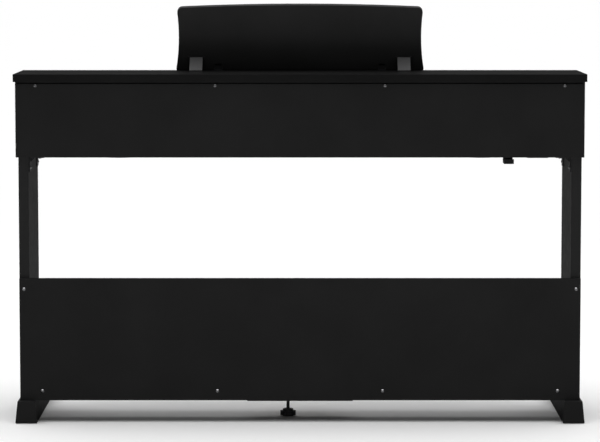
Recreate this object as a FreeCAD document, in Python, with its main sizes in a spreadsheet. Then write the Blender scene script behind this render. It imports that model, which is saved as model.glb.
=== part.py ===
"""A console digital piano on its stand, as separate pieces.

Millimetres, +Z up. The origin is on the floor under the middle of the bounding box. The player
sits on the -Y side, so left is -X and right is +X. Every piece is modelled where it stands, with
the key cover open, the music rest raised on its two supports and the pedals and keys up.
"""
import FreeCAD, Part
import math
import os

import Sketcher
from FreeCAD import Placement, Rotation, Vector

# ---------------------------------------------------------------- driving dimensions, in mm and degrees
DIMENSIONS = {
    # outer envelope
    "top_half": 678.5, "top_height": 831.0, "top_thick": 18.0, "top_rear": 193.0, "top_deep": 252.0,
    "top_lip_deep": 7.0, "top_lip_rise": 4.0, "front_line": -211.0,
    # keyboard cabinet
    "cab_half": 673.5, "cab_rear": 188.0, "cab_floor": 634.0, "side_thick": 15.0,
    "back_thick": 6.0, "back_reveal": 5.0, "bed_thick": 15.0, "batten_wide": 18.0,
    "slip_front": -208.0, "slip_thick": 14.0, "slip_top": 720.0, "block_wide": 45.0, "block_top": 732.0,
    "name_front": -44.0, "name_thick": 10.0, "name_floor": 731.5, "name_top": 779.0,
    # curved key cover and its rails, about an axis along X
    "arc_y": 10.0, "arc_z": 442.0, "cover_outer": 365.0, "cover_thick": 8.0, "side_arc": 371.0,
    "cover_first": 10.4, "cover_sweep": 26.4, "lip_sweep": 3.0, "cover_gap": 1.0,
    "rail_thick": 5.2, "rail_wide": 8.0, "rail_rear": 17.5, "rail_front": 31.0,
    # keyboard
    "key_pitch": 23.5, "key_gap": 1.0, "key_front": -192.0, "key_rear": 45.0, "key_top": 728.0,
    "key_deep": 20.0, "head_long": 49.0, "sharp_wide": 10.6, "sharp_long": 95.0, "sharp_rise": 12.0,
    "pivot_y": 30.0, "pivot_z": 712.0,
    # stand
    "leg_half": 668.0, "leg_thick": 24.0, "leg_rear": 179.0, "leg_deep": 235.0,
    "foot_outer": 678.0, "foot_wide": 51.5, "foot_lean": 5.5, "foot_taper": 4.0, "foot_height": 53.5,
    "foot_front": -205.0, "foot_rear": 211.0, "pad_thick": 4.0, "pad_long": 60.0,
    "panel_thick": 12.0, "panel_top": 346.0,
    # pedal box and pedals
    "box_front": 74.0, "box_thick": 15.0, "box_floor": 62.0, "box_top": 154.0,
    "case_half": 126.0, "case_front": 70.0, "case_rear": 170.0, "case_floor": 48.0, "case_top": 139.0,
    "case_wall": 4.0, "pedal_step": 68.0, "pedal_tip": -6.0, "pedal_thick": 8.0, "pedal_floor": 78.0,
    "axle_y": 150.0, "axle_radius": 4.0, "running_gap": 0.05,
    "screw_x": 29.0, "screw_y": 92.0, "screw_radius": 3.9, "knob_radius": 19.8, "knob_crown": 12.4,
    # music rest
    "rest_lean": 16.0, "rest_axis_y": -42.0, "rest_axis_rise": 12.5, "rest_thick": 14.0,
    "rest_foot": 302.0, "rest_waist": 295.0, "rest_shoulder": 297.5, "rest_waist_up": 61.0,
    "rest_corner_up": 148.5, "rest_crown_up": 155.0, "rest_corner_radius": 13.0,
    "prop_x": 253.0, "prop_wide": 31.0, "prop_long": 45.0, "prop_thick": 1.8, "prop_up": 21.8,
    "prop_out": 9.0, "prop_swing": 64.7,
    # brackets, screws and small fittings
    "bracket_leg": 36.0, "bracket_wide": 34.0, "bracket_thick": 2.5, "bracket_web": 11.0,
    "bracket_rear": 152.0, "bracket_front": -28.0,
    "shank_radius": 1.7, "hole_radius": 1.8, "head_radius": 4.4, "head_rise": 2.3,
    "speaker_x": 430.0, "speaker_y": 113.0, "speaker_radius": 56.0, "speaker_hole": 48.0,
    "phone_x": -590.0, "phone_bore": 3.3, "hook_x": -519.0,
}
NOTES = ("c", "c_sharp", "d", "d_sharp", "e", "f", "f_sharp", "g", "g_sharp", "a", "a_sharp", "b")
FIRST_NOTE, KEY_COUNT = 9, 88  # the lowest key is an A
# the round buttons on the left cheek block, and where each stands along Y
BUTTONS = {"voice_button": -115.0, "metronome_button": -138.0, "tempo_button": -161.0}
BUTTON_RADIUS, BUTTON_LONG, BUTTON_RISE = 4.9, 8.5, 2.5
POWER_Y, POWER_RADIUS, POWER_LONG, POWER_RISE = -80.0, 7.0, 9.0, 2.0
VOLUME_Y, VOLUME_RADIUS, VOLUME_TALL = -75.0, 10.0, 12.0
BACK_SCREWS = ((626, 804), (201, 804), (-201, 804), (-626, 804))  # X and Z, cabinet back
# X and Z of the screws in the lower rear panel: two into the legs, four along the pedal box
REAR_SCREWS = ((656.5, 320), (-656.5, 320), (614.5, 75.5), (197, 75.5), (-197, 75.5), (-614.5, 75.5))

doc = FreeCAD.newDocument("DigitalPiano")


class Size:
    """A driving dimension or a sum or product of them: its value, and its expression in the sheet."""

    def __init__(self, value, text):
        self.value, self.text = value, text

    @staticmethod
    def of(other):
        return other if isinstance(other, Size) else Size(float(other), repr(float(other)))

    def joined(self, other, sign, value):
        return Size(value, f"({self.text} {sign} {Size.of(other).text})")

    def __add__(self, other):
        return self.joined(other, "+", self.value + Size.of(other).value)

    def __sub__(self, other):
        return self.joined(other, "-", self.value - Size.of(other).value)

    def __mul__(self, other):
        return self.joined(other, "*", self.value * Size.of(other).value)

    def __truediv__(self, other):
        return self.joined(other, "/", self.value / Size.of(other).value)

    def __radd__(self, other):
        return Size.of(other) + self

    def __rsub__(self, other):
        return Size.of(other) - self

    def __rmul__(self, other):
        return Size.of(other) * self

    def __neg__(self):
        return self * -1


class Sheet:
    """The spreadsheet of driving dimensions. Each is read as an attribute, such as dim.top_half."""

    def __init__(self, cells):
        table = doc.addObject("Spreadsheet::Sheet", "Dims")
        for row, (alias, value) in enumerate(cells.items(), start=1):
            table.set(f"A{row}", alias)
            table.set(f"B{row}", str(value))
            table.setAlias(f"B{row}", alias)
            setattr(self, alias, Size(value, f"Dims.{alias}"))


dim = Sheet(DIMENSIONS)
doc.recompute()
SUBPARTS = []


# ---------------------------------------------------------------- ways to make a piece
def bind(thing, **properties):
    """Binds each named property, with _ for a dot, to the expression of its size."""
    for name, size in properties.items():
        thing.setExpression(name.replace("_", "."), Size.of(size).text)


def keep(thing, label):
    """Marks a document object as a sub-part, whose file has that name."""
    thing.Label = label
    SUBPARTS.append(thing)
    return thing


def spans(x, y, z, name="Block"):
    """A box from the low to the high end of each (low, high) pair."""
    block = doc.addObject("Part::Box", name)
    low = [Size.of(pair[0]) for pair in (x, y, z)]
    high = [Size.of(pair[1]) for pair in (x, y, z)]
    bind(block, Length=high[0] - low[0], Width=high[1] - low[1], Height=high[2] - low[2])
    bind(block, Placement_Base_x=low[0], Placement_Base_y=low[1], Placement_Base_z=low[2])
    return block


def rod(radius, length, x, y, z, turn=None, sweep=None):
    """A cylinder that starts at a point and runs along +Z, or along the axis that turn makes of it."""
    bar = doc.addObject("Part::Cylinder", "Rod")
    if turn:
        bar.Placement = Placement(Vector(), turn)
    bind(bar, Radius=radius, Height=length)
    if sweep is not None:
        bind(bar, Angle=sweep)
    bind(bar, Placement_Base_x=x, Placement_Base_y=y, Placement_Base_z=z)
    return bar


ALONG_X = Rotation(Vector(0, 1, 0), 90)
ALONG_Y = Rotation(Vector(1, 0, 0), -90)


def joined(things):
    fused = doc.addObject("Part::MultiFuse", "Joined")
    fused.Shapes = things
    return fused


def less(base, tools):
    """base with each of the tools cut away."""
    cut = doc.addObject("Part::Cut", "Less")
    cut.Base, cut.Tool = base, tools[0] if len(tools) == 1 else joined(tools)
    return cut


def rounded(base, radius, wanted):
    """base with the edges that wanted(edge) picks rounded."""
    doc.recompute()
    edges = [n for n, edge in enumerate(base.Shape.Edges, start=1) if wanted(edge)]
    fillet = doc.addObject("Part::Fillet", "Rounded")
    fillet.Base, fillet.Edges = base, [(n, radius, radius) for n in edges]
    return fillet


def runs_along(edge, axis):
    """True for a straight edge parallel to a row axis, 0, 1 or 2."""
    if not isinstance(edge.Curve, Part.Line):
        return False
    return abs(abs(tuple(edge.tangentAt(edge.FirstParameter))[axis]) - 1) < 1e-6


def profile(plane, corners, low, high):
    """A PartDesign body: a closed outline of straight lines, padded from low to high.

    plane is XY, XZ or YZ. corners are pairs of sizes along the plane's two axes, and low and high are
    along its normal, as row coordinates.
    """
    body = doc.addObject("PartDesign::Body", "Body")
    sketch = body.newObject("Sketcher::SketchObject", "Outline")
    origin_plane = next(f for f in body.Origin.OriginFeatures if f.Role == plane + "_Plane")
    sketch.AttachmentSupport = [(origin_plane, "")]
    sketch.MapMode = "FlatFace"
    corners = [(Size.of(a), Size.of(b)) for a, b in corners]
    for n, (a, b) in enumerate(corners):
        c, d = corners[(n + 1) % len(corners)]
        sketch.addGeometry(Part.LineSegment(Vector(a.value, b.value, 0), Vector(c.value, d.value, 0)))
    for n, corner in enumerate(corners):
        sketch.addConstraint(Sketcher.Constraint("Coincident", n - 1 if n else len(corners) - 1, 2, n, 1))
        for kind, size in zip(("DistanceX", "DistanceY"), corner):
            index = sketch.addConstraint(Sketcher.Constraint(kind, -1, 1, n, 1, size.value))
            sketch.setExpression(f"Constraints[{index}]", size.text)
    low, high = Size.of(low), Size.of(high)
    start = -high if plane == "XZ" else low  # the XZ plane's normal points along -Y
    sketch.setExpression("AttachmentOffset.Base.z", start.text)
    pad = body.newObject("PartDesign::Pad", "Pad")
    pad.Profile = sketch
    bind(pad, Length=high - low)
    return body


def solid_group(label, shapes):
    """A Part::Feature of one or more separate solids that Part's own functions make."""
    feature = doc.addObject("Part::Feature", "Group")
    feature.Shape = shapes[0] if len(shapes) == 1 else Part.makeCompound(shapes)
    return keep(feature, label)


def drills(places, radius, length, turn):
    """Cylinders to cut screw holes with. places are points where each hole starts."""
    return [rod(radius, length, x, y, z, turn) for x, y, z in places]


def ring_sector(inner, outer, first, sweep, low, high):
    """A curved board between two radii about the cover's axis, from first degrees on towards the player."""
    turn = Rotation(Vector(1, 0, 0), 180 + first) * ALONG_X
    outside = rod(outer, high - low, low, dim.arc_y, dim.arc_z, turn, sweep)
    inside = rod(inner, high - low + 2, low - 1, dim.arc_y, dim.arc_z, ALONG_X)
    return less(outside, [inside])


# ---------------------------------------------------------------- cabinet boards
def holes_up(places, depth):
    """Screw holes that go up into a board from the height they start at."""
    return drills(places, dim.hole_radius, depth, None)


def side_spans(side, low, high):
    """A (low, high) pair along X on the left, -1, or right, +1, from distances off the middle."""
    low, high = Size.of(low), Size.of(high)
    return (low, high) if side > 0 else (-high, -low)


inner = dim.cab_half - dim.side_thick  # inner face of the cabinet sides, off the middle
top_low = dim.top_height - dim.top_thick
panel_half = dim.cab_half - dim.back_reveal
panel_front = dim.cab_rear - dim.back_thick
bed_top = dim.cab_floor + dim.bed_thick
top_front = dim.top_rear - dim.top_deep
slip_rear = dim.slip_front + dim.slip_thick
HINGE_X = (-200.0, 200.0)  # the middles of the music rest's two hinges

board = profile("XY", [(-dim.top_half, top_front), (dim.top_half, top_front), (dim.top_half, dim.top_rear),
                       (-dim.top_half, dim.top_rear)], top_low, dim.top_height)
board = rounded(board, 3.0, lambda edge: runs_along(edge, 2))
lip = spans((-dim.rest_foot, dim.rest_foot), (top_front, top_front + dim.top_lip_deep),
            (dim.top_height, dim.top_height + dim.top_lip_rise), "RestLip")
hinge_holes = [(x + dx, dim.rest_axis_y + dy, dim.top_height - 10)
               for x in HINGE_X for dx, dy in ((-5, 13), (5, 13))]
lipped_board = doc.addObject("Part::Compound", "LippedBoard")  # the lip is a strip glued on in front
lipped_board.Links = [less(board, holes_up(hinge_holes, 11)), lip]
keep(lipped_board, "top_board")

batten = spans((-inner, inner), (panel_front - dim.batten_wide, panel_front),
               (top_low - dim.batten_wide, top_low))
back_drill = [(x, panel_front - 11, z) for x, z in BACK_SCREWS]
keep(less(batten, drills(back_drill, dim.hole_radius, 13, ALONG_Y)), "rear_batten")

back_top = top_low - dim.back_reveal
back = profile("XZ", [(-panel_half, dim.cab_floor), (panel_half, dim.cab_floor),
                      (panel_half, back_top), (-panel_half, back_top)], panel_front, dim.cab_rear)
keep(less(back, drills(back_drill, dim.hole_radius, 20, ALONG_Y)), "upper_back_panel")

for side, name in ((-1, "cabinet_side_left"), (1, "cabinet_side_right")):
    across = side_spans(side, inner, dim.cab_half)
    wide = side_spans(side, inner - 1, dim.cab_half + 1)
    blank = spans(across, (dim.front_line, dim.cab_rear), (dim.cab_floor, top_low))
    front = spans(wide, (dim.front_line - 1, dim.arc_y), (dim.block_top, top_low + 1))
    below = rod(dim.side_arc, dim.side_thick + 4, wide[0] - 1, dim.arc_y, dim.arc_z, ALONG_X)
    rebate = spans(side_spans(side, inner - 1, panel_half), (panel_front, dim.cab_rear + 1),
                   (dim.cab_floor - 1, top_low + 1))
    keep(less(blank, [less(front, [below]), rebate]), name)


def bracket_places():
    """The middle of each angle bracket's corner: side, and Y."""
    return [(side, y) for side in (-1, 1) for y in (dim.bracket_rear.value, dim.bracket_front.value)]


LEG_INNER = DIMENSIONS["leg_half"] - DIMENSIONS["leg_thick"]
UP_SCREWS = [(side * (LEG_INNER - 26), y + dy) for side, y in bracket_places() for dy in (-10, 10)]
SIDE_SCREWS = [(side, y + dy) for side, y in bracket_places() for dy in (-10, 10)]
SIDE_SCREW_Z = 608.0

bed = spans((-inner, inner), (slip_rear, panel_front), (dim.cab_floor, bed_top))
bed_tools = holes_up([(x, y, dim.cab_floor - 1) for x, y in UP_SCREWS], 11)
bed_tools += [rod(dim.speaker_hole, dim.bed_thick + 2, x, dim.speaker_y, dim.cab_floor - 1)
              for x in (-dim.speaker_x, dim.speaker_x)]
bed_tools.append(spans((240, 330), (55, 85), (dim.cab_floor - 1, bed_top + 1)))  # under the sockets
keep(less(bed, bed_tools), "keybed_board")

slip = profile("XZ", [(-inner, dim.cab_floor), (inner, dim.cab_floor), (inner, dim.slip_top),
                      (-inner, dim.slip_top)], dim.slip_front, slip_rear)
keep(rounded(slip, 3.0, lambda edge: runs_along(edge, 0) and edge.CenterOfMass.z > 700), "key_slip")

BLOCK_X = DIMENSIONS["cab_half"] - DIMENSIONS["side_thick"] - DIMENSIONS["block_wide"] / 2
for side, name in ((-1, "cheek_block_left"), (1, "cheek_block_right")):
    across = side_spans(side, inner - dim.block_wide, inner)
    blank = spans(across, (slip_rear, dim.name_front), (bed_top, dim.block_top))
    blank = rounded(blank, 5.0, lambda edge: runs_along(edge, 0) and edge.CenterOfMass.z > 700
                    and edge.CenterOfMass.y < -150)
    if side < 0:
        tools = [rod(BUTTON_RADIUS + 0.4, 10, -BLOCK_X, y, dim.block_top - 8) for y in BUTTONS.values()]
        tools.append(rod(3.0 + dim.running_gap, 12, -BLOCK_X, VOLUME_Y, dim.block_top - 9))
    else:
        tools = [rod(POWER_RADIUS + 0.4, 12, BLOCK_X, POWER_Y, dim.block_top - 9)]
    keep(less(blank, tools), name)

name_board = spans((-inner, inner), (dim.name_front, dim.name_front + dim.name_thick),
                   (dim.name_floor, dim.name_top))
keep(rounded(name_board, 2.0, lambda edge: runs_along(edge, 0) and edge.CenterOfMass.z > 770), "name_board")
keep(spans((-611, 611), (dim.name_front - 1.5, dim.name_front), (dim.name_floor, dim.name_floor + 4)),
     "felt_strip")

# ---------------------------------------------------------------- curved key cover on its rails
cover_inner = dim.cover_outer - dim.cover_thick
rail_outer = cover_inner - 0.4
rails = []
for side in (-1, 1):
    low, high = side_spans(side, inner - dim.rail_wide, inner)
    rails.append(ring_sector(rail_outer - dim.rail_thick, rail_outer, -17.5, 48.5, low, high))
rail_pair = doc.addObject("Part::Compound", "RailPair")
rail_pair.Links = rails
keep(rail_pair, "cover_rails")

COVER_START = DIMENSIONS["cover_first"] - DIMENSIONS["cover_sweep"]
LIP_START = DIMENSIONS["cover_first"] - DIMENSIONS["lip_sweep"]
UNDER_LIP_HALF = Size.of(609)  # stops short of the rails
cover_half = inner - dim.cover_gap
sheet = ring_sector(cover_inner, dim.cover_outer, COVER_START, dim.cover_sweep, -cover_half, cover_half)
grip_lip = ring_sector(cover_inner, dim.cover_outer + 4, LIP_START, dim.lip_sweep, -cover_half, cover_half)
under_lip = ring_sector(cover_inner - 4, cover_inner + 1, LIP_START, dim.lip_sweep, -UNDER_LIP_HALF,
                        UNDER_LIP_HALF)
keep(joined([sheet, grip_lip, under_lip]), "key_cover")

# ---------------------------------------------------------------- keyboard
OCTAVE = 7 * DIMENSIONS["key_pitch"]
SLOT = OCTAVE / 12
WHITE_PLACE = {0: 0, 2: 1, 4: 2, 5: 3, 7: 4, 9: 5, 11: 6}  # pitch class to place among an octave's whites
key_floor = dim.key_top - dim.key_deep
head_rear = dim.key_front + dim.head_long
half_gap = dim.key_gap / 2


def octave_start(octave):
    """X of the left edge of an octave's C. The lowest key, an A, starts 26 whites left of the middle."""
    return -26 * DIMENSIONS["key_pitch"] + (7 * (octave - 1) + 2) * DIMENSIONS["key_pitch"]


def key_shape(number):
    """One key, as boxes that touch: a white with its head and tail, or a sharp with its raised block."""
    octave, pitch = divmod(FIRST_NOTE + number, 12)
    start = octave_start(octave)
    slot_low, slot_high = start + pitch * SLOT, start + (pitch + 1) * SLOT
    if pitch in WHITE_PLACE:
        low = start + WHITE_PLACE[pitch] * DIMENSIONS["key_pitch"]
        high = low + DIMENSIONS["key_pitch"]
        lowest, highest = number == 0, number == KEY_COUNT - 1
        tail_low = low if lowest else max(low, slot_low)
        tail_high = high if highest else min(high, slot_high)
        head = spans((low + half_gap, high - half_gap), (dim.key_front, head_rear),
                     (key_floor, dim.key_top))
        tail = spans((tail_low + half_gap, tail_high - half_gap), (head_rear, dim.key_rear - 45),
                     (key_floor, dim.key_top))
        parts = [head, tail]
    else:
        middle = (slot_low + slot_high) / 2
        low, high = middle - dim.sharp_wide / 2, middle + dim.sharp_wide / 2
        raised = dim.key_top + dim.sharp_rise
        front, rear = head_rear + 1, head_rear + dim.sharp_long
        block = profile("YZ", [(front, key_floor), (rear, key_floor), (rear, raised), (front + 5, raised),
                               (front, dim.key_top)], low, high)
        parts = [block, spans((low, high), (rear, dim.key_rear - 45), (key_floor, dim.key_top))]
    middle = (slot_low + slot_high) / 2
    parts.append(spans((middle - 4.5, middle + 4.5), (dim.key_rear - 45, dim.key_rear),
                       (key_floor - 2, dim.key_top - 6)))
    return joined(parts)


for pitch, note in enumerate(NOTES):
    group = [key_shape(n) for n in range(KEY_COUNT) if (FIRST_NOTE + n) % 12 == pitch]
    together = doc.addObject("Part::Compound", "Group")
    together.Links = group
    bore = rod(2.0 + dim.running_gap, 1240, -620, dim.pivot_y, dim.pivot_z, ALONG_X)
    keep(less(together, [bore]), f"keys_{note}")

axle = rod(2.0, 1226.6, -613.3, dim.pivot_y, dim.pivot_z, ALONG_X)
base_plate = spans((-613.3, 613.3), (-185, 52), (bed_top, bed_top + 3))
stop = spans((-612, 612), (-180, -166), (bed_top + 3, key_floor - 10))
posts = []
for octave in range(8):
    for x in (octave_start(octave) + 9 * SLOT, octave_start(octave) + 4 * SLOT):
        if -600 < x < 600:
            posts.append(spans((x - 1.3, x + 1.3), (22, 38), (bed_top + 3, dim.pivot_z + 5)))
posts += [spans((x - 1.5, x + 1.5), (22, 38), (bed_top + 3, dim.pivot_z + 5)) for x in (-611.8, 611.8)]
keep(joined([axle, base_plate, stop] + posts), "key_frame")

# ---------------------------------------------------------------- electronics
PEG = 8.0  # height of the pegs under the circuit boards


def pegged_board(x, y, chips):
    """A circuit board on four pegs that stand on the keybed. A chip is X, Y, width, depth and height."""
    low, top = bed_top + PEG, bed_top + PEG + 1.6
    pieces = [spans(x, y, (low, top))]
    for px in (x[0] + 6, x[1] - 6):
        for py in (y[0] + 6, y[1] - 6):
            pieces.append(rod(2.5, PEG, px, py, bed_top))
    pieces += [spans((cx, cx + cw), (cy, cy + cd), (top, top + ch)) for cx, cy, cw, cd, ch in chips]
    return joined(pieces)


contact_floor = bed_top + 15
struts = [spans((x, x + 6), (-115, -109), (bed_top + 3, contact_floor)) for x in (-595, -300, 0, 294, 589)]
contact_board = joined([spans((-600, 600), (-120, -70), (contact_floor, contact_floor + 2))] + struts)
MAIN_CHIPS = [(-120, 90, 24, 24, 3), (-60, 100, 16, 16, 2), (-20, 80, 30, 12, 6), (40, 95, 20, 20, 3),
              (85, 120, 14, 30, 9), (60, 72, 40, 10, 8)]
POWER_CHIPS = [(535, 80, 24, 30, 18), (575, 85, 16, 16, 14)]
boards = doc.addObject("Part::Compound", "Boards")
boards.Links = [contact_board,
                pegged_board((-150.0, 120.0), (66.0, 160.0), MAIN_CHIPS),
                pegged_board((515.0, 620.0), (66.0, 160.0), POWER_CHIPS)]
keep(boards, "circuit_boards")


def speaker_shape(x):
    """A full-range speaker that faces down through the keybed: basket, cone and magnet in one solid."""
    outline = [(0, 18), (14, 18), (46, 2), (46, 0), (56, 0), (56, 3), (49, 3), (36, 24), (36, 42), (0, 42)]
    wire = Part.makePolygon([Vector(a, 0, b) for a, b in outline + outline[:1]])
    solid = Part.Face(wire).revolve(Vector(), Vector(0, 0, 1), 360)
    solid.translate(Vector(x, dim.speaker_y.value, bed_top.value))
    return solid


solid_group("speakers", [speaker_shape(x) for x in (-dim.speaker_x.value, dim.speaker_x.value)])

GRILLE_HALVES = (26, 34, 40, 44, 44, 44, 40, 34, 26)  # half lengths of a grille's slots, front to rear
GRILLE_PITCH, GRILLE_SLOT = 9.0, 5.0
grilles = []
for x in (-dim.speaker_x, dim.speaker_x):
    disc = rod(dim.speaker_radius, 2, x, dim.speaker_y, dim.cab_floor - 2)
    slots = []
    for row, half in enumerate(GRILLE_HALVES):
        start = dim.speaker_y + (row * GRILLE_PITCH - 40.5)
        slots.append(spans((x - half, x + half), (start, start + GRILLE_SLOT),
                           (dim.cab_floor - 3, dim.cab_floor + 1)))
    grilles.append(less(disc, slots))
grille_pair = doc.addObject("Part::Compound", "GrillePair")
grille_pair.Links = grilles
keep(grille_pair, "speaker_grilles")

INLET_X, INLET_Y, INLET_BORE = 262.0, 63.0, 2.8
socket_low = bed_top - 12
terminals = joined([spans((236, 334), (53, 89), (bed_top, bed_top + 2)),
                    rod(7, 13, INLET_X, INLET_Y, socket_low),
                    spans((285, 305), (62, 78), (socket_low, bed_top + 1)),
                    spans((310, 325), (64, 76), (socket_low, bed_top + 1))])
keep(less(terminals, [rod(INLET_BORE, 12, INLET_X, INLET_Y, socket_low - 1),
                      spans((289, 301), (64.5, 75.5), (socket_low - 1, bed_top - 2)),
                      spans((313, 322), (67, 73), (socket_low - 1, bed_top - 2))]), "terminal_panel")

jack_box = spans((dim.phone_x - 28, dim.phone_x + 28), (-190, -125), (dim.cab_floor - 24, dim.cab_floor))
jack_box = rounded(jack_box, 3.0, lambda edge: edge.CenterOfMass.z < dim.cab_floor.value - 23)
keep(less(jack_box, [rod(dim.phone_bore, 32, x, -192, dim.cab_floor - 12, ALONG_Y)
                     for x in (dim.phone_x - 13, dim.phone_x + 13)]), "phones_jack_box")

# the hanger is a strap bent round in a C: Y, and how far below the keybed
HOOK = ((-175, 0), (-175, 39), (-125, 39), (-125, 27), (-131, 27), (-131, 31), (-167, 31), (-167, 4),
        (-125, 4), (-125, 0))
hook = profile("YZ", [(y, dim.cab_floor - drop) for y, drop in HOOK], dim.hook_x - 12, dim.hook_x + 12)
keep(rounded(hook, 2.0, lambda edge: runs_along(edge, 0) and edge.CenterOfMass.z < dim.cab_floor.value - 38),
     "headphone_hanger")

# ---------------------------------------------------------------- music rest, its hinges and its two props
AXIS = Vector(0, DIMENSIONS["rest_axis_y"], DIMENSIONS["top_height"] + DIMENSIONS["rest_axis_rise"])
LEAN = Placement(AXIS, Rotation(Vector(1, 0, 0), -DIMENSIONS["rest_lean"]))  # local Z runs up the board
PROP_PIVOT = Vector(0, DIMENSIONS["prop_out"], DIMENSIONS["prop_up"])  # in the rest's frame
REST_DROP = 9.5  # the board's lower edge is this far below the hinge axis


def rest_box(x, y, z):
    """A box in the rest's own frame: Y is 0 in mid-thickness and grows to the rear, Z runs up the board."""
    return Part.makeBox(x[1] - x[0], y[1] - y[0], z[1] - z[0], Vector(x[0], y[0], z[0]))


def rest_rod(radius, x, y, z):
    return Part.makeCylinder(radius, x[1] - x[0], Vector(x[0], y, z), Vector(1, 0, 0))


def music_rest_shape():
    """The rest's board with curved sides and crown, its ledge, and the lugs that hold the two props."""
    half, low = dim.rest_thick.value / 2, -REST_DROP
    corner, radius = dim.rest_corner_up.value, dim.rest_corner_radius.value
    foot, waist, shoulder = dim.rest_foot.value, dim.rest_waist.value, dim.rest_shoulder.value
    lean_in = radius * (1 - math.sqrt(0.5))
    right = [Vector(foot, 0, low + 3), Vector(waist, 0, dim.rest_waist_up.value),
             Vector(shoulder, 0, corner - radius)]
    edges = []
    for mirror in (1, -1):
        a, b, c = [Vector(mirror * p.x, 0, p.z) for p in right]
        edges.append(Part.Arc(a, b, c).toShape())
        turn = Vector(mirror * (shoulder - lean_in), 0, corner - lean_in)
        edges.append(Part.Arc(c, turn, Vector(mirror * (shoulder - radius), 0, corner)).toShape())
        edges.append(Part.LineSegment(a, Vector(mirror * (foot - 3), 0, low)).toShape())
    left, peak = Vector(radius - shoulder, 0, corner), Vector(0, 0, dim.rest_crown_up.value)
    edges.append(Part.Arc(left, peak, Vector(shoulder - radius, 0, corner)).toShape())
    edges.append(Part.LineSegment(Vector(3 - foot, 0, low), Vector(foot - 3, 0, low)).toShape())
    face = Part.Face(Part.Wire(Part.__sortEdges__(edges)))
    board = face.extrude(Vector(0, 2 * half, 0))
    board.translate(Vector(0, -half, 0))
    board = board.fuse([rest_box((-290, 290), (-32, -half), (low, -1.5)),
                        rest_box((-290, 290), (-32, -28), (low, 2.5))]).removeSplitter()
    for x in HINGE_X:
        board = board.cut(rest_box((x - 9.4, x + 9.4), (-half, half + 1), (low - 1, 6)))
        board = board.cut(rest_rod(2.05, (x - 21, x + 21), 0, 0))
    board.Placement = LEAN
    return board


def prop_lugs(x):
    """The two lugs and the pin that one prop of the rest turns on, screwed to the rest's back."""
    reach = dim.prop_wide.value / 2
    lugs = [rest_box((x + a, x + b), (dim.rest_thick.value / 2, 10.8), (PROP_PIVOT.z - 4, PROP_PIVOT.z + 4))
            for a, b in ((-reach - 4.5, -reach - 0.5), (reach + 0.5, reach + 4.5))]
    pin = rest_rod(0.8, (x - reach - 4, x + reach + 4), PROP_PIVOT.y, PROP_PIVOT.z)
    fused = lugs[0].fuse([lugs[1], pin]).removeSplitter()
    fused.Placement = LEAN
    return fused


solid_group("music_rest", [music_rest_shape(), prop_lugs(-dim.prop_x.value), prop_lugs(dim.prop_x.value)])

hinge_solids = []
for x in HINGE_X:
    top = dim.top_height.value
    plate = Part.makeBox(18, 26, 1.5, Vector(x - 9, AXIS.y - 6, top))
    post = Part.makeBox(18, 10, AXIS.z - top - 1, Vector(x - 9, AXIS.y - 5, top + 1))
    knuckle = Part.makeCylinder(5, 18, Vector(x - 9, AXIS.y, AXIS.z), Vector(1, 0, 0))
    pin = Part.makeCylinder(2, 40, Vector(x - 20, AXIS.y, AXIS.z), Vector(1, 0, 0))
    holes = [Part.makeCylinder(dim.hole_radius.value, 4, Vector(x + dx, AXIS.y + 13, top - 1))
             for dx in (-5, 5)]
    hinge_solids.append(plate.fuse([post, knuckle, pin]).cut(holes).removeSplitter())
solid_group("music_rest_hinges", hinge_solids)

PROP_ANGLE = DIMENSIONS["prop_swing"] - 180  # from the rest's up direction, turned about +X
for x, name in ((-dim.prop_x.value, "rest_support_left"), (dim.prop_x.value, "rest_support_right")):
    reach, thick, length = dim.prop_wide.value / 2, dim.prop_thick.value, dim.prop_long.value
    plate = Part.makeBox(2 * reach, thick, length, Vector(x - reach, -thick / 2, 0))
    barrel = Part.makeCylinder(1.6, 2 * reach, Vector(x - reach, 0, 0), Vector(1, 0, 0))
    bore = Part.makeCylinder(0.85, 2 * reach + 2, Vector(x - reach - 1, 0, 0), Vector(1, 0, 0))
    prop = plate.fuse(barrel).cut(bore)
    prop.Placement = Placement(PROP_PIVOT, Rotation(Vector(1, 0, 0), PROP_ANGLE))
    prop.Placement = LEAN * prop.Placement
    solid_group(name, [prop])

# ---------------------------------------------------------------- stand
leg_front = dim.leg_rear - dim.leg_deep
leg_inner = dim.leg_half - dim.leg_thick
panel_rear = dim.leg_rear + dim.panel_thick
REAR_DRILL = [(x, DIMENSIONS["leg_rear"] - 9, z) for x, z in REAR_SCREWS]
FOOT_LIFT = 1.5  # the pads stand this far out of the foot's underside
PAD_ENDS = ((-190.0, -130.0), (136.0, 196.0))


def pad_blocks(side, low):
    """The blocks of one foot's two rubber pads, from a height up to the tops of their pockets."""
    across = side_spans(side, dim.foot_outer - 40, dim.foot_outer - 12)
    return [spans(across, ends, (low, dim.pad_thick)) for ends in PAD_ENDS]


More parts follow.
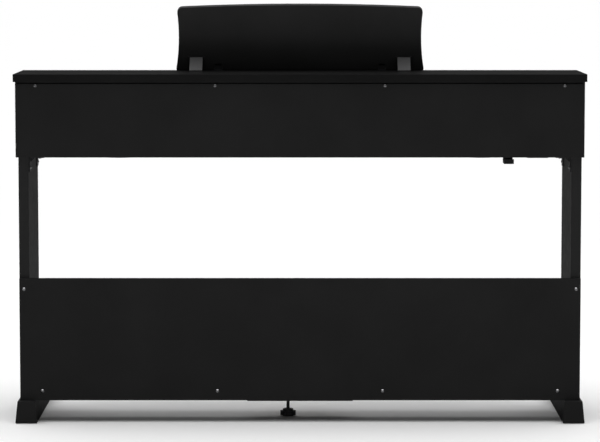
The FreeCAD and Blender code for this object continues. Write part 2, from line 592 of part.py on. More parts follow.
for side, name in ((-1, "left"), (1, "right")):
    leg = spans(side_spans(side, leg_inner, dim.leg_half), (leg_front, dim.leg_rear),
                (dim.foot_height, dim.cab_floor))
    start = leg_inner - 1 if side > 0 else -leg_inner - 12
    tools = [rod(dim.hole_radius, 13, start, y, SIDE_SCREW_Z, ALONG_X) for s, y in SIDE_SCREWS if s == side]
    into_leg = [place for place in REAR_DRILL if place[0] * side > LEG_INNER]
    tools += drills(into_leg, dim.hole_radius, 10, ALONG_Y)
    keep(less(leg, tools), f"leg_panel_{name}")

    low_out, low_in = dim.foot_outer * side, (dim.foot_outer - dim.foot_wide) * side
    top_out = (dim.foot_outer - dim.foot_lean) * side
    top_in = (dim.foot_outer - dim.foot_wide + dim.foot_taper) * side
    foot = profile("XZ", [(low_in, FOOT_LIFT), (low_out, FOOT_LIFT), (top_out, dim.foot_height),
                          (top_in, dim.foot_height)], dim.foot_front, dim.foot_rear)
    foot = rounded(foot, 8.0, lambda edge: runs_along(edge, 0) and edge.CenterOfMass.z > 40
                   and edge.CenterOfMass.y < 0)
    keep(less(foot, pad_blocks(side, -1)), f"foot_{name}")

foot_pads = doc.addObject("Part::Compound", "Pads")
foot_pads.Links = pad_blocks(-1, 0) + pad_blocks(1, 0)
keep(foot_pads, "foot_pads")

rear_half = dim.leg_half - 0.5
lower = profile("XZ", [(-rear_half, dim.foot_height), (rear_half, dim.foot_height),
                       (rear_half, dim.panel_top), (-rear_half, dim.panel_top)], dim.leg_rear, panel_rear)
keep(less(lower, drills(REAR_DRILL, dim.hole_radius, 30, ALONG_Y)), "lower_rear_panel")

box_width, box_inside = (-leg_inner, leg_inner), dim.box_front + dim.box_thick
box_face = spans(box_width, (dim.box_front, box_inside), (dim.box_floor, dim.box_top))
box_lid = spans(box_width, (dim.box_front, dim.leg_rear), (dim.box_top - dim.box_thick, dim.box_top))
battens = [spans(side_spans(side, dim.case_half, leg_inner), (dim.leg_rear - 12, dim.leg_rear),
                 (dim.box_floor + 4, dim.box_floor + 24)) for side in (-1, 1)]
doorway = spans((-dim.case_half, dim.case_half), (dim.box_front - 1, box_inside),
                (dim.box_floor - 1, dim.case_top))
into_battens = drills([place for place in REAR_DRILL if place[2] < 100], dim.hole_radius, 10, ALONG_Y)
keep(less(joined([box_face, box_lid] + battens), [doorway] + into_battens), "pedal_box")

# ---------------------------------------------------------------- pedal unit
PEDALS = {"pedal_left": -1, "pedal_middle": 0, "pedal_right": 1}
wall = dim.case_wall
pedal_mid = dim.pedal_floor + dim.pedal_thick / 2
shell = spans((-dim.case_half, dim.case_half), (dim.case_front, dim.case_rear),
              (dim.case_floor, dim.case_top))
shell = rounded(shell, 3.0, lambda edge: runs_along(edge, 0) and edge.CenterOfMass.z < 60)
hollow = spans((-dim.case_half + wall, dim.case_half - wall),
               (dim.case_front + wall, dim.case_rear - wall), (dim.case_floor + wall, dim.case_top - wall))
slots = [spans((dim.pedal_step * n - 14, dim.pedal_step * n + 14),
               (dim.case_front - 1, dim.case_front + wall + 1),
               (dim.pedal_floor - 8, dim.pedal_floor + dim.pedal_thick + 2)) for n in PEDALS.values()]
stem_hole = rod(6, wall + 2, dim.screw_x, dim.screw_y, dim.case_floor - 1)
nut = less(spans((dim.screw_x - 10, dim.screw_x + 10), (dim.screw_y - 10, dim.screw_y + 10),
                 (dim.case_floor + wall - 1, dim.case_floor + wall + 9)),
           [rod(dim.screw_radius + dim.running_gap, 20, dim.screw_x, dim.screw_y, dim.case_floor)])
pedal_axle = rod(dim.axle_radius, dim.case_half * 2 - wall, -dim.case_half + wall / 2, dim.axle_y,
                 pedal_mid, ALONG_X)
keep(joined([less(shell, [hollow, stem_hole] + slots), nut, pedal_axle]), "pedal_unit_case")

for name, place in PEDALS.items():
    x = dim.pedal_step * place
    blade_z = (dim.pedal_floor, dim.pedal_floor + dim.pedal_thick)
    tip_y = dim.pedal_tip + 12
    tongue = spans((x - 12, x + 12), (tip_y, tip_y + 44), blade_z)
    round_tip = rod(12, dim.pedal_thick, x, tip_y, dim.pedal_floor)
    arm = spans((x - 8, x + 8), (tip_y + 40, dim.axle_y), blade_z)
    boss = rod(9, 24, x - 12, dim.axle_y, pedal_mid, ALONG_X)
    bore = rod(dim.axle_radius + dim.running_gap, 30, x - 15, dim.axle_y, pedal_mid, ALONG_X)
    keep(less(joined([tongue, round_tip, arm, boss]), [bore]), name)

SPRING_RADIUS, SPRING_WIRE, SPRING_TURNS, SPRING_Y = 5.5, 0.9, 6, 116.0


def spring_shape(x, low, high):
    """A compression spring: round wire wound about a vertical line between two heights."""
    rise = high - low - 2 * SPRING_WIRE
    helix = Part.makeHelix(rise / SPRING_TURNS, rise, SPRING_RADIUS)
    ring = Part.Wire(Part.makeCircle(SPRING_WIRE, Vector(SPRING_RADIUS, 0, 0), Vector(0, 1, 0)))
    coil = Part.Wire(helix).makePipeShell([ring], True, True)
    coil.translate(Vector(x, SPRING_Y, low + SPRING_WIRE))
    return coil


case_inside = DIMENSIONS["case_floor"] + DIMENSIONS["case_wall"]
for name, place in PEDALS.items():
    x = DIMENSIONS["pedal_step"] * place
    coil = spring_shape(x, case_inside + 0.1, DIMENSIONS["pedal_floor"] - 0.1)
    solid_group(f"{name}_spring", [coil])

# ---------------------------------------------------------------- level adjuster
FLOOR_PAD, STEM_LONG = 2.5, 52.0
knob_low = FLOOR_PAD + 0.3
foot_disc = rod(13, FLOOR_PAD, dim.screw_x, dim.screw_y, 0)
foot_peg = rod(3, 6, dim.screw_x, dim.screw_y, FLOOR_PAD - 1)
keep(joined([foot_disc, foot_peg]), "adjuster_pad")

lobe_ring = dim.knob_radius - 4
knob = rod(lobe_ring, dim.knob_crown - knob_low, dim.screw_x, dim.screw_y, knob_low)
lobes = []
for n in range(8):
    turn = math.radians(45 * n + 22.5)
    lobes.append(rod(4, dim.knob_crown - knob_low, dim.screw_x + lobe_ring * math.cos(turn),
                     dim.screw_y + lobe_ring * math.sin(turn), knob_low))
neck = rod(12.5, 6, dim.screw_x, dim.screw_y, dim.knob_crown - 1)
stem = rod(dim.screw_radius, STEM_LONG, dim.screw_x, dim.screw_y, dim.knob_crown)
socket = rod(3 + dim.running_gap, 6.2, dim.screw_x, dim.screw_y, FLOOR_PAD)
keep(less(joined([knob, neck, stem] + lobes), [socket]), "adjuster_knob")

# ---------------------------------------------------------------- angle brackets and screws
def bracket_shape(side, y):
    """An angle bracket with one gusset: one leg on the stand's leg, the other under the keybed."""
    leg, thick, half = dim.bracket_leg.value, dim.bracket_thick.value, dim.bracket_wide.value / 2
    top, web_long, hole = dim.cab_floor.value, dim.bracket_web.value, dim.hole_radius.value
    corner = Vector(LEG_INNER - thick, y - 1.2, top - thick)
    flat = Part.makeBox(leg, 2 * half, thick, Vector(LEG_INNER - leg, y - half, top - thick))
    upright = Part.makeBox(thick, 2 * half, leg, Vector(LEG_INNER - thick, y - half, top - leg))
    web_corners = [corner, corner - Vector(0, 0, web_long), corner - Vector(web_long, 0, 0), corner]
    web = Part.Face(Part.makePolygon(web_corners)).extrude(Vector(0, 2.4, 0))
    bracket = flat.fuse([upright, web]).removeSplitter()
    for dy in (-10, 10):
        up = Part.makeCylinder(hole, 6, Vector(LEG_INNER - 26, y + dy, top - 4))
        across = Part.makeCylinder(hole, 6, Vector(LEG_INNER - 4, y + dy, SIDE_SCREW_Z), Vector(1, 0, 0))
        bracket = bracket.cut([up, across])
    return bracket if side > 0 else bracket.mirror(Vector(), Vector(1, 0, 0))


def screw_shape(seat, direction, length):
    """A round-head screw whose head sits on seat and whose shank runs along direction."""
    shank_radius, head, rise = dim.shank_radius.value, dim.head_radius.value, dim.head_rise.value
    dome_radius = (head ** 2 + rise ** 2) / (2 * rise)
    dome = Part.makeSphere(dome_radius, Vector(0, 0, dome_radius - rise))
    cap = dome.common(Part.makeCylinder(head, rise, Vector(0, 0, -rise)))
    shank = Part.makeCylinder(shank_radius, length + 0.5, Vector(0, 0, -0.5))
    screw = cap.fuse(shank).removeSplitter()
    cross = Part.makeBox(0.9, 4.6, 1.1, Vector(-0.45, -2.3, -rise - 0.1))
    other = Part.makeBox(4.6, 0.9, 1.1, Vector(-2.3, -0.45, -rise - 0.1))
    screw = screw.cut(cross.fuse(other))
    screw.Placement = Placement(Vector(*seat), Rotation(Vector(0, 0, 1), Vector(*direction)))
    return screw


solid_group("angle_brackets", [bracket_shape(side, y) for side, y in bracket_places()])
under_bracket = dim.cab_floor.value - dim.bracket_thick.value
beside_bracket = LEG_INNER - dim.bracket_thick.value
screws = [screw_shape((x, y, under_bracket), (0, 0, 1), 11.0) for x, y in UP_SCREWS]
screws += [screw_shape((side * beside_bracket, y, SIDE_SCREW_Z), (side, 0, 0), 13.0)
           for side, y in SIDE_SCREWS]
solid_group("bracket_screws", screws)
screws = [screw_shape((x, dim.cab_rear.value, z), (0, -1, 0), 15.0) for x, z in BACK_SCREWS]
screws += [screw_shape((x, panel_rear.value, z), (0, -1, 0), 19.0) for x, z in REAR_SCREWS]
solid_group("panel_screws", screws)

# ---------------------------------------------------------------- buttons and knob on the cheek blocks
def top_rim(edge):
    """True for the circle round the top of a button or of the dial."""
    return isinstance(edge.Curve, Part.Circle) and edge.CenterOfMass.z > dim.block_top.value + 1


for name, y in BUTTONS.items():
    button = rod(BUTTON_RADIUS, BUTTON_LONG, -BLOCK_X, y, dim.block_top + BUTTON_RISE - BUTTON_LONG)
    keep(rounded(button, 0.8, top_rim), name)
power = rod(POWER_RADIUS, POWER_LONG, BLOCK_X, POWER_Y, dim.block_top + POWER_RISE - POWER_LONG)
keep(rounded(power, 0.8, top_rim), "power_button")
dial = rod(VOLUME_RADIUS, VOLUME_TALL, -BLOCK_X, VOLUME_Y, dim.block_top + 0.5)
dial = rounded(dial, 1.0, top_rim)
mark = spans((-BLOCK_X - 0.6, -BLOCK_X + 0.6), (VOLUME_Y + 1, VOLUME_Y + 8),
             (dim.block_top + VOLUME_TALL, dim.block_top + VOLUME_TALL + 2))
spindle = rod(3.0, 9, -BLOCK_X, VOLUME_Y, dim.block_top - 8)
keep(less(joined([dial, spindle]), [mark]), "volume_knob")

# ---------------------------------------------------------------- check and write out
doc.recompute()
for thing in doc.Objects:
    if any(word in thing.State for word in ("Invalid", "Error")):
        raise RuntimeError(f"{thing.Name} ({thing.Label}) did not compute: {thing.State}")
os.makedirs("parts", exist_ok=True)
for thing in SUBPARTS:
    if thing.Shape.isNull() or not thing.Shape.isValid():
        raise RuntimeError(f"{thing.Label} has no valid shape")
    thing.Shape.exportStep(f"parts/{thing.Label}.step")
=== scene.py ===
"""Looks of a console digital piano on its stand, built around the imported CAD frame.

Metres, +Z up, the same frame as the CAD: the player sits on the -Y side and left is -X.
"""
import math

import bmesh
import bpy
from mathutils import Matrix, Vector


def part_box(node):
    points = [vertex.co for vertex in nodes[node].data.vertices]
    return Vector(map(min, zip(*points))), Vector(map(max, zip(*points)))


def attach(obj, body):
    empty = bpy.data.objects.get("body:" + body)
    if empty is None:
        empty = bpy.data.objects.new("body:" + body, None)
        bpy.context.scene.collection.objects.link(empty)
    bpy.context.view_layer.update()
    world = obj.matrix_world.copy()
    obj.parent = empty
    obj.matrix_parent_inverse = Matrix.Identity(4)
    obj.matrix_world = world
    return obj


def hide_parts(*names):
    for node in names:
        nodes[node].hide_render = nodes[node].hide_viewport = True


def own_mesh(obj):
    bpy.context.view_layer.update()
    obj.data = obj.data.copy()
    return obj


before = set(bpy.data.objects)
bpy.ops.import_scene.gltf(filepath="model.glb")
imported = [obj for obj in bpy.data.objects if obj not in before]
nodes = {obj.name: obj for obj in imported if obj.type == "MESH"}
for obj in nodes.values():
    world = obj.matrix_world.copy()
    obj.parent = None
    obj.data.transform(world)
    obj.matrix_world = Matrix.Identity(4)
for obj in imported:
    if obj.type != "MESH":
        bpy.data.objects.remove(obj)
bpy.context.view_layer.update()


def set_range(node, low, high, start, end):
    """Makes a Map Range node spread its value from low to high, as it goes from start to end."""
    for socket, number in (("From Min", start), ("From Max", end), ("To Min", low), ("To Max", high)):
        node.inputs[socket].default_value = number


# ---------------------------------------------------------------- materials
class Paint:
    """A node-based material under construction. link() joins sockets, and add() makes a node."""

    def __init__(self, name, **constants):
        self.material = bpy.data.materials.new(name)
        self.material.use_nodes = True
        self.tree = self.material.node_tree
        self.shader = self.tree.nodes["Principled BSDF"]
        self.coords = self.add("ShaderNodeTexCoord").outputs["Object"]
        for socket, value in constants.items():
            self.set(socket.replace("_", " "), value)

    def add(self, kind, **settings):
        node = self.tree.nodes.new(kind)
        for key, value in settings.items():
            setattr(node, key, value)
        return node

    def link(self, output, socket):
        self.tree.links.new(output, self.shader.inputs[socket] if isinstance(socket, str) else socket)

    def set(self, socket, value):
        self.shader.inputs[socket].default_value = value

    def stretched(self, scale):
        """The object coordinates, scaled by a number per axis."""
        mapping = self.add("ShaderNodeMapping")
        mapping.inputs["Scale"].default_value = scale
        self.link(self.coords, mapping.inputs["Vector"])
        return mapping.outputs["Vector"]

    def noise(self, scale, detail=4.0, roughness=0.55, stretch=(1, 1, 1)):
        """A noise value about 0.5. scale is in features per metre."""
        node = self.add("ShaderNodeTexNoise")
        node.inputs["Scale"].default_value = scale
        node.inputs["Detail"].default_value = detail
        node.inputs["Roughness"].default_value = roughness
        self.link(self.stretched(stretch), node.inputs["Vector"])
        return node.outputs["Fac"]

    def ramp(self, value, low, high, start=0.3, end=0.7):
        """value spread from low to high, as it goes from start to end."""
        node = self.add("ShaderNodeMapRange")
        set_range(node, low, high, start, end)
        self.link(value, node.inputs["Value"])
        return node.outputs["Result"]

    def mix(self, factor, first, second):
        """A colour between two, each a colour or another output."""
        node = self.add("ShaderNodeMix", data_type="RGBA")
        colour_sockets = node.inputs[6], node.inputs[7]
        self.link(factor, node.inputs["Factor"])
        for socket, colour in zip(colour_sockets, (first, second)):
            if isinstance(colour, tuple):
                socket.default_value = (*colour, 1.0)
            else:
                self.link(colour, socket)
        return node.outputs[2]

    def mottle(self, noise, first, second):
        """A base colour that drifts between two."""
        self.link(self.mix(self.ramp(noise, 0, 1), first, second), "Base Color")

    def gloss(self, noise, low, high):
        """A roughness that drifts between two levels."""
        self.link(self.ramp(noise, low, high), "Roughness")

    def edges(self, radius=0.0012):
        """About 0 on flat faces and up to 1 along sharp edges."""
        bevel = self.add("ShaderNodeBevel", samples=4)
        bevel.inputs["Radius"].default_value = radius
        plain = self.add("ShaderNodeNewGeometry")
        dot = self.add("ShaderNodeVectorMath", operation="DOT_PRODUCT")
        self.link(bevel.outputs["Normal"], dot.inputs[0])
        self.link(plain.outputs["Normal"], dot.inputs[1])
        on_edge, on_face = 0.80, 0.995  # how far the rounded normal agrees with the plain one
        return self.ramp(dot.outputs["Value"], 1.0, 0.0, start=on_edge, end=on_face)

    def bump(self, *layers):
        """Surface relief from (height output, strength, distance in metres) layers."""
        normal = None
        for height, strength, distance in layers:
            node = self.add("ShaderNodeBump")
            node.inputs["Strength"].default_value = strength
            node.inputs["Distance"].default_value = distance
            self.link(height, node.inputs["Height"])
            if normal:
                self.link(normal, node.inputs["Normal"])
            normal = node.outputs["Normal"]
        self.link(normal, "Normal")


def toned(colour, times, plus):
    """A colour with each channel multiplied, then raised."""
    return tuple(channel * times + plus for channel in colour)


ALONG_X, ALONG_Y, ALONG_Z = (0.06, 1, 1), (1, 0.06, 1), (1, 1, 0.06)  # noise drawn out along one axis
# the third colour is the painted highlight along the boards' edges
FOIL_DARK, FOIL_PALE, FOIL_EDGE_HIGHLIGHT = 0.0116, 0.0140, (0.020, 0.020, 0.021)


def black_board(name, grain, tone=1.0, sheen=0.10, rough=0.46):
    """Satin black foil on board: a pressed wood grain along the board, with paler arrises that are a
    painted edge highlight.
    """
    paint = Paint(name, Specular_IOR_Level=sheen)
    pores = paint.noise(1500, detail=3.0, roughness=0.6, stretch=grain)
    cloud = paint.noise(9, detail=3.0)
    dark, pale = ((tone * level,) * 3 for level in (FOIL_DARK, FOIL_PALE))
    base = paint.mix(paint.ramp(cloud, 0, 1), dark, pale)
    # paler along sharp edges: painted edge highlight
    paint.link(paint.mix(paint.edges(), base, FOIL_EDGE_HIGHLIGHT), "Base Color")
    paint.gloss(paint.noise(60, detail=5.0), rough, rough + 0.10)
    paint.bump((pores, 0.20, 0.00008), (paint.noise(420, detail=2.0), 0.10, 0.00006))
    return paint.material


def moulded(name, colour, rough=0.5, specular=0.3, scale=2200, depth=0.25):
    """Moulded plastic with a fine spark texture."""
    paint = Paint(name, Specular_IOR_Level=specular)
    paint.mottle(paint.noise(25), colour, toned(colour, 1.25, 0.002))
    paint.gloss(paint.noise(160), rough - 0.05, rough + 0.06)
    paint.bump((paint.noise(scale, detail=2.0), depth, 0.00008))
    return paint.material


def metal(name, colour, rough=0.3, brushed=(1, 1, 1), depth=0.12):
    """Metal with brushing along the axis with the smallest stretch."""
    paint = Paint(name, Metallic=1.0)
    paint.mottle(paint.noise(30), colour, toned(colour, 0.82, 0))
    paint.gloss(paint.noise(700, detail=3.0, roughness=0.6, stretch=brushed), rough - 0.07, rough + 0.09)
    paint.bump((paint.noise(1600, detail=2.0, roughness=0.6, stretch=brushed), depth, 0.00005))
    return paint.material


def powder_coat(name, colour, rough=0.45):
    """Painted steel with a light orange peel and paler edges that are a painted edge highlight."""
    paint = Paint(name, Specular_IOR_Level=0.35)
    # paler along sharp edges: painted edge highlight
    edge_highlight = paint.edges(0.0008)
    paint.link(paint.mix(edge_highlight, colour, toned(colour, 1.6, 0.01)), "Base Color")
    paint.gloss(paint.noise(90), rough - 0.06, rough + 0.06)
    paint.bump((paint.noise(650, detail=2.0), 0.25, 0.0001))
    return paint.material


def key_plastic(name):
    """Polished off-white key plastic with a little light under its skin."""
    paint = Paint(name, Subsurface_Weight=0.08, Subsurface_Scale=0.002)
    paint.mottle(paint.noise(7), (0.80, 0.79, 0.74), (0.84, 0.83, 0.79))
    paint.gloss(paint.noise(120), 0.16, 0.26)
    paint.bump((paint.noise(380, detail=2.0), 0.05, 0.00005))
    return paint.material


def felt(name, colour):
    """Pressed wool with a soft nap."""
    paint = Paint(name, Sheen_Weight=0.7, Sheen_Roughness=0.6, Roughness=0.95, Specular_IOR_Level=0.05)
    paint.mottle(paint.noise(900, detail=5.0), colour, toned(colour, 1.8, 0.01))
    paint.bump((paint.noise(1300, detail=5.0, roughness=0.7), 0.9, 0.0004))
    return paint.material


def rubber(name):
    """Dull black rubber."""
    paint = Paint(name, Specular_IOR_Level=0.25)
    paint.mottle(paint.noise(60), (0.012, 0.012, 0.012), (0.022, 0.022, 0.021))
    paint.gloss(paint.noise(200), 0.68, 0.85)
    paint.bump((paint.noise(1200, detail=3.0), 0.4, 0.00012))
    return paint.material


def circuit(name):
    """Green solder mask with copper runs that show through."""
    paint = Paint(name)
    runs = paint.add("ShaderNodeTexBrick")
    paint.link(paint.coords, runs.inputs["Vector"])
    for socket, value in (("Scale", 90), ("Mortar Size", 0.05), ("Color1", (0.010, 0.10, 0.035, 1)),
                          ("Color2", (0.014, 0.12, 0.045, 1)), ("Mortar", (0.06, 0.24, 0.08, 1))):
        runs.inputs[socket].default_value = value
    paint.link(runs.outputs["Color"], "Base Color")
    paint.gloss(paint.noise(200), 0.28, 0.4)
    return paint.material


foil_x = black_board("black_foil_x", ALONG_X)
foil_y = black_board("black_foil_y", ALONG_Y)
foil_z = black_board("black_foil_z", ALONG_Z, sheen=0.22)
# the top board's foil is a darker copy of the same board foil, set to how light falls on it: painted shade
foil_top_painted_shade = black_board("black_foil_top", ALONG_X, tone=0.72, sheen=0.03, rough=0.34)
# the music rest's foil is a paler copy of the same board foil, lightening where the top board keeps light
# from it: painted light
foil_rest_painted_light = black_board("black_foil_rest", ALONG_X, tone=1.9)
black_plastic = moulded("black_plastic", (0.010, 0.010, 0.011))
ebony = moulded("black_key", (0.008, 0.008, 0.009), rough=0.38, specular=0.4, scale=1600, depth=0.12)
white_plastic = key_plastic("white_key")
dark_nickel = metal("dark_nickel", (0.42, 0.42, 0.43), rough=0.22)
zinc = metal("zinc", (0.62, 0.62, 0.63), rough=0.34)
brass = metal("brass", (0.84, 0.60, 0.27), rough=0.20, brushed=ALONG_Y, depth=0.06)
prop_grey = powder_coat("prop_grey", (0.070, 0.070, 0.071), rough=0.5)
black_coat = powder_coat("black_coat", (0.010, 0.010, 0.011))
red_felt = felt("red_felt", (0.16, 0.008, 0.012))
pad_rubber = rubber("pad_rubber")
green_board = circuit("circuit_board")

FINISH = {
    foil_top_painted_shade: ["top_board"],
    foil_rest_painted_light: ["music_rest"],
    # rear_batten gets the black foil so the gap under the top board stays dark: painted shade
    foil_x: ["upper_back_panel", "key_slip", "name_board", "key_cover", "lower_rear_panel", "pedal_box",
             "keybed_board", "rear_batten"],
    foil_y: ["cabinet_side_left", "cabinet_side_right", "cheek_block_left", "cheek_block_right",
             "foot_left", "foot_right"],
    foil_z: ["leg_panel_left", "leg_panel_right"],
    black_plastic: ["cover_rails", "headphone_hanger", "adjuster_knob", "phones_jack_box",
                    "speaker_grilles", "terminal_panel", "power_button", "volume_knob", "voice_button",
                    "metronome_button", "tempo_button", "key_frame"],
    prop_grey: ["rest_support_left", "rest_support_right"],
    black_coat: ["music_rest_hinges", "pedal_unit_case", "angle_brackets", "speakers"],
    zinc: ["bracket_screws"],
    dark_nickel: ["panel_screws"],
    brass: ["pedal_left", "pedal_middle", "pedal_right"],
    red_felt: ["felt_strip"],
    green_board: ["circuit_boards"],
    pad_rubber: ["foot_pads", "adjuster_pad"],
    white_plastic: ["keys_c", "keys_d", "keys_e", "keys_f", "keys_g", "keys_a", "keys_b"],
    ebony: ["keys_c_sharp", "keys_d_sharp", "keys_f_sharp", "keys_g_sharp", "keys_a_sharp"],
}
BOARD_EDGE = 0.0009
SOFT_EDGE = {  # how far each finish rounds its pieces' edges
    foil_top_painted_shade: BOARD_EDGE, foil_rest_painted_light: BOARD_EDGE, foil_x: BOARD_EDGE, foil_y: BOARD_EDGE,
    foil_z: BOARD_EDGE, black_plastic: 0.0005, white_plastic: 0.0006, ebony: 0.0007, brass: 0.0012,
    prop_grey: 0.0003,
}
SAME_POINT = 0.00001  # corners nearer than this are one
SAME_FACE = math.radians(0.3)  # faces that turn less than this are one
SHARP = math.radians(40)  # edges that turn more than this are rounded


def soften(piece, width):
    """Rounds a piece's sharp edges a little."""
    weld = piece.modifiers.new("weld", "WELD")
    weld.merge_threshold = SAME_POINT
    merge = piece.modifiers.new("whole_faces", "DECIMATE")
    merge.decimate_type, merge.angle_limit = "DISSOLVE", SAME_FACE
    bevel = piece.modifiers.new("soft_edges", "BEVEL")
    bevel.width, bevel.segments = width, 2
    bevel.limit_method, bevel.angle_limit = "ANGLE", SHARP
    bevel.use_clamp_overlap = True
    flatten = piece.modifiers.new("flat_faces", "WEIGHTED_NORMAL")
    flatten.weight, flatten.keep_sharp = 80, False


for material, names in FINISH.items():
    for name in names:
        for slot in nodes[name].material_slots:
            slot.material = material
        if material in SOFT_EDGE:
            soften(nodes[name], SOFT_EDGE[material])


def mesh_piece(name, vertices, faces, material):
    """A new object in the scene from its corners and faces."""
    mesh = bpy.data.meshes.new(name)
    mesh.from_pydata(vertices, [], faces)
    mesh.materials.append(material)
    piece = bpy.data.objects.new(name, mesh)
    bpy.context.scene.collection.objects.link(piece)
    return piece


# ---------------------------------------------------------------- key cover's front edge
COVER_AXIS_Y, COVER_AXIS_Z = 0.010, 0.442  # the key cover's hinge line
COVER_TURN = math.radians(24.4)  # from open to closed
DROP_HALF = 0.609  # clears the rails at both ends
DROP_PROFILE = (  # Y and Z with the cover closed
    (-0.1944, 0.7358), (-0.2000, 0.7440), (-0.2062, 0.7415), (-0.2076, 0.7280),
    (-0.2074, 0.7226), (-0.2032, 0.7222), (-0.1990, 0.7265), (-0.1966, 0.7330),
)


def cover_drop():
    """The key cover's turned-down front edge, which meets the key slip. It is made on the open cover."""
    cos, sin = math.cos(COVER_TURN), math.sin(COVER_TURN)
    outline = []
    for y, z in DROP_PROFILE:
        y, z = y - COVER_AXIS_Y, z - COVER_AXIS_Z
        outline.append((COVER_AXIS_Y + y * cos + z * sin, COVER_AXIS_Z - y * sin + z * cos))
    count = len(outline)
    vertices = [(x, y, z) for x in (-DROP_HALF, DROP_HALF) for y, z in outline]
    sides = [(n, (n + 1) % count, (n + 1) % count + count, n + count) for n in range(count)]
    ends = [tuple(reversed(range(count))), tuple(range(count, 2 * count))]
    piece = mesh_piece("cover_drop", vertices, sides + ends, foil_x)
    shape = bmesh.new()
    shape.from_mesh(piece.data)
    bmesh.ops.recalc_face_normals(shape, faces=shape.faces)
    shape.to_mesh(piece.data)
    shape.free()
    soften(piece, SOFT_EDGE[foil_x])
    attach(piece, "key_cover")


cover_drop()

# ---------------------------------------------------------------- pedal springs
WIRE = 0.0009  # radius of the springs' wire
WIRE_SIDES = 10
TURNS, FLAT_TURN = 7.5, 0.75  # turns in all, and turns wound flat at each end
TURN_STEPS = 24
FLAT_PITCH = 2.1 * WIRE  # rise of a flat turn: just over the wire's thickness


def tube(name, path, material):
    """A closed tube of round wire along a path of (point, outward direction) pairs."""
    vertices, faces = [], []
    up = Vector((0, 0, 1))
    for point, outward in path:
        for step in range(WIRE_SIDES):
            angle = math.tau * step / WIRE_SIDES
            vertices.append(point + WIRE * (math.cos(angle) * outward + math.sin(angle) * up))
    for ring in range(len(path) - 1):
        for step in range(WIRE_SIDES):
            here, beside = ring * WIRE_SIDES + step, ring * WIRE_SIDES + (step + 1) % WIRE_SIDES
            faces.append((here, here + WIRE_SIDES, beside + WIRE_SIDES, beside))
    last = len(vertices) - WIRE_SIDES
    faces.append(tuple(range(WIRE_SIDES)))
    faces.append(tuple(range(len(vertices) - 1, last - 1, -1)))
    piece = mesh_piece(name, vertices, faces, material)
    piece.data.shade_smooth()
    return piece


def coil_spring(side):
    """A pedal's return spring, with its end turns wound flat."""
    node = f"pedal_{side}_spring"
    low, high = (Vector(corner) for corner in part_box(node))
    middle, radius = (low + high) / 2, (high.x - low.x) / 2 - WIRE
    rise, flat = high.z - low.z - 2 * WIRE, FLAT_PITCH * FLAT_TURN
    path = []
    for n in range(int(TURNS * TURN_STEPS) + 1):
        turn = n / TURN_STEPS
        if turn < FLAT_TURN:
            climb = flat * turn / FLAT_TURN
        elif turn > TURNS - FLAT_TURN:
            climb = rise - flat * (TURNS - turn) / FLAT_TURN
        else:
            climb = flat + (rise - 2 * flat) * (turn - FLAT_TURN) / (TURNS - 2 * FLAT_TURN)
        outward = Vector((math.cos(math.tau * turn), math.sin(math.tau * turn), 0))
        path.append((Vector((middle.x, middle.y, low.z + WIRE + climb)) + radius * outward, outward))
    spring = tube(f"{side}_coil", path, zinc)
    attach(spring, "piano")
    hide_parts(node)
    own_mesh(spring)


for side in ("left", "middle", "right"):
    coil_spring(side)

# ---------------------------------------------------------------- stage, light and camera
WHITE = (1, 1, 1, 1)
FLOOR_REACH = 150  # far enough to pass for a floor without an end
FLOOR_IN_GLOSS = (0.22, 0.22, 0.22, 1)


def stage_floor():
    """A wide sheet of white paper. It throws a dimmer light into glossy surfaces than the camera sees."""
    paint = Paint("floor_paper", Roughness=0.9, Specular_IOR_Level=0.05)
    paint.mottle(paint.noise(3), (0.95, 0.95, 0.95), (0.96, 0.96, 0.96))
    grey = paint.add("ShaderNodeBsdfDiffuse")
    grey.inputs["Color"].default_value = FLOOR_IN_GLOSS
    either = paint.add("ShaderNodeMixShader")
    rays = paint.add("ShaderNodeLightPath")
    paint.link(rays.outputs["Is Glossy Ray"], either.inputs[0])
    paint.link(paint.shader.outputs[0], either.inputs[1])
    paint.link(grey.outputs[0], either.inputs[2])
    paint.link(either.outputs[0], paint.tree.nodes["Material Output"].inputs["Surface"])
    corners = [(x * FLOOR_REACH, y * FLOOR_REACH, 0) for x, y in ((-1, -1), (1, -1), (1, 1), (-1, 1))]
    floor = mesh_piece("floor", corners, [(0, 1, 2, 3)], paint.material)


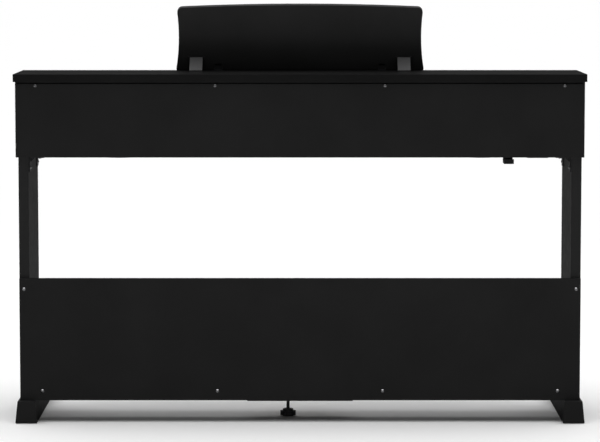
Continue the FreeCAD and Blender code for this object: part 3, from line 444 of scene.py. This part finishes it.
def studio_sky(top, side, front, rear):
    """A soft sky: brightest overhead, dim level with the floor, and dimmed before and behind the piano."""
    world = bpy.data.worlds.new("studio")
    bpy.context.scene.world = world
    world.use_nodes = True
    tree = world.node_tree
    sky = tree.nodes["Background"]
    way = tree.nodes.new("ShaderNodeTexCoord").outputs["Generated"]
    split = tree.nodes.new("ShaderNodeSeparateXYZ")
    tree.links.new(way, split.inputs[0])

    def spread(value, start, end, low, high):
        """A smooth step from low to high, as value goes from start to end."""
        node = tree.nodes.new("ShaderNodeMapRange")
        node.interpolation_type = "SMOOTHSTEP"
        set_range(node, low, high, start, end)
        tree.links.new(value, node.inputs["Value"])
        return node.outputs["Result"]

    def times(first, second):
        node = tree.nodes.new("ShaderNodeMath")
        node.operation = "MULTIPLY"
        tree.links.new(first, node.inputs[0])
        tree.links.new(second, node.inputs[1])
        return node.outputs[0]

    height = spread(split.outputs["Z"], start=0.5, end=1.0, low=side, high=top)
    before = spread(split.outputs["Y"], start=-0.8, end=-0.1, low=front, high=1.0)
    behind = spread(split.outputs["Y"], start=0.0, end=0.6, low=1.0, high=rear)
    tree.links.new(times(height, times(before, behind)), sky.inputs["Strength"])
    sky.inputs["Color"].default_value = WHITE
    wall = tree.nodes.new("ShaderNodeBackground")  # what is seen behind the piano: plain white
    wall.inputs["Color"].default_value = WHITE
    rays = tree.nodes.new("ShaderNodeLightPath")
    either = tree.nodes.new("ShaderNodeMixShader")
    tree.links.new(rays.outputs["Is Camera Ray"], either.inputs[0])
    tree.links.new(sky.outputs[0], either.inputs[1])
    tree.links.new(wall.outputs[0], either.inputs[2])
    tree.links.new(either.outputs[0], tree.nodes["World Output"].inputs["Surface"])


def area_light(name, place, aim, size, watts):
    """A soft box that faces its aim."""
    data = bpy.data.lights.new(name, "AREA")
    data.shape, data.size, data.size_y, data.energy = "RECTANGLE", size[0], size[1], watts
    light = bpy.data.objects.new(name, data)
    light.location = place
    light.rotation_euler = (Vector(aim) - Vector(place)).to_track_quat("-Z", "Y").to_euler()
    bpy.context.scene.collection.objects.link(light)


stage_floor()
studio_sky(top=3.0, side=0.02, front=0.45, rear=0.62)
area_light("ceiling", place=(0, 1.2, 3.2), aim=(0, 0.2, 0.6), size=(3, 1.2), watts=2)
area_light("low_box", place=(0, 1.75, 0.30), aim=(0, 0.19, 0.50), size=(2.6, 0.3), watts=3.6)
area_light("front_box", place=(0, -2.6, 2.5), aim=(0, -0.1, 0.6), size=(3.0, 0.7), watts=8)

CAMERA_PLACE = (0, 6.693, 1.1067)
CAMERA_DIP = 5.476  # degrees below level
LENS_MM, SENSOR_MM = 165.22, 36.0
SIGHT = 300  # sees to the far edge of the floor

camera_data = bpy.data.cameras.new("camera")
camera = bpy.data.objects.new("camera", camera_data)
scene = bpy.context.scene
scene.collection.objects.link(camera)
camera.location = CAMERA_PLACE
camera.rotation_euler = (math.radians(90 - CAMERA_DIP), 0, math.radians(180))
camera_data.lens = LENS_MM
camera_data.sensor_width = SENSOR_MM
camera_data.clip_end = SIGHT
scene.camera = camera
scene.view_settings.view_transform = "Standard"
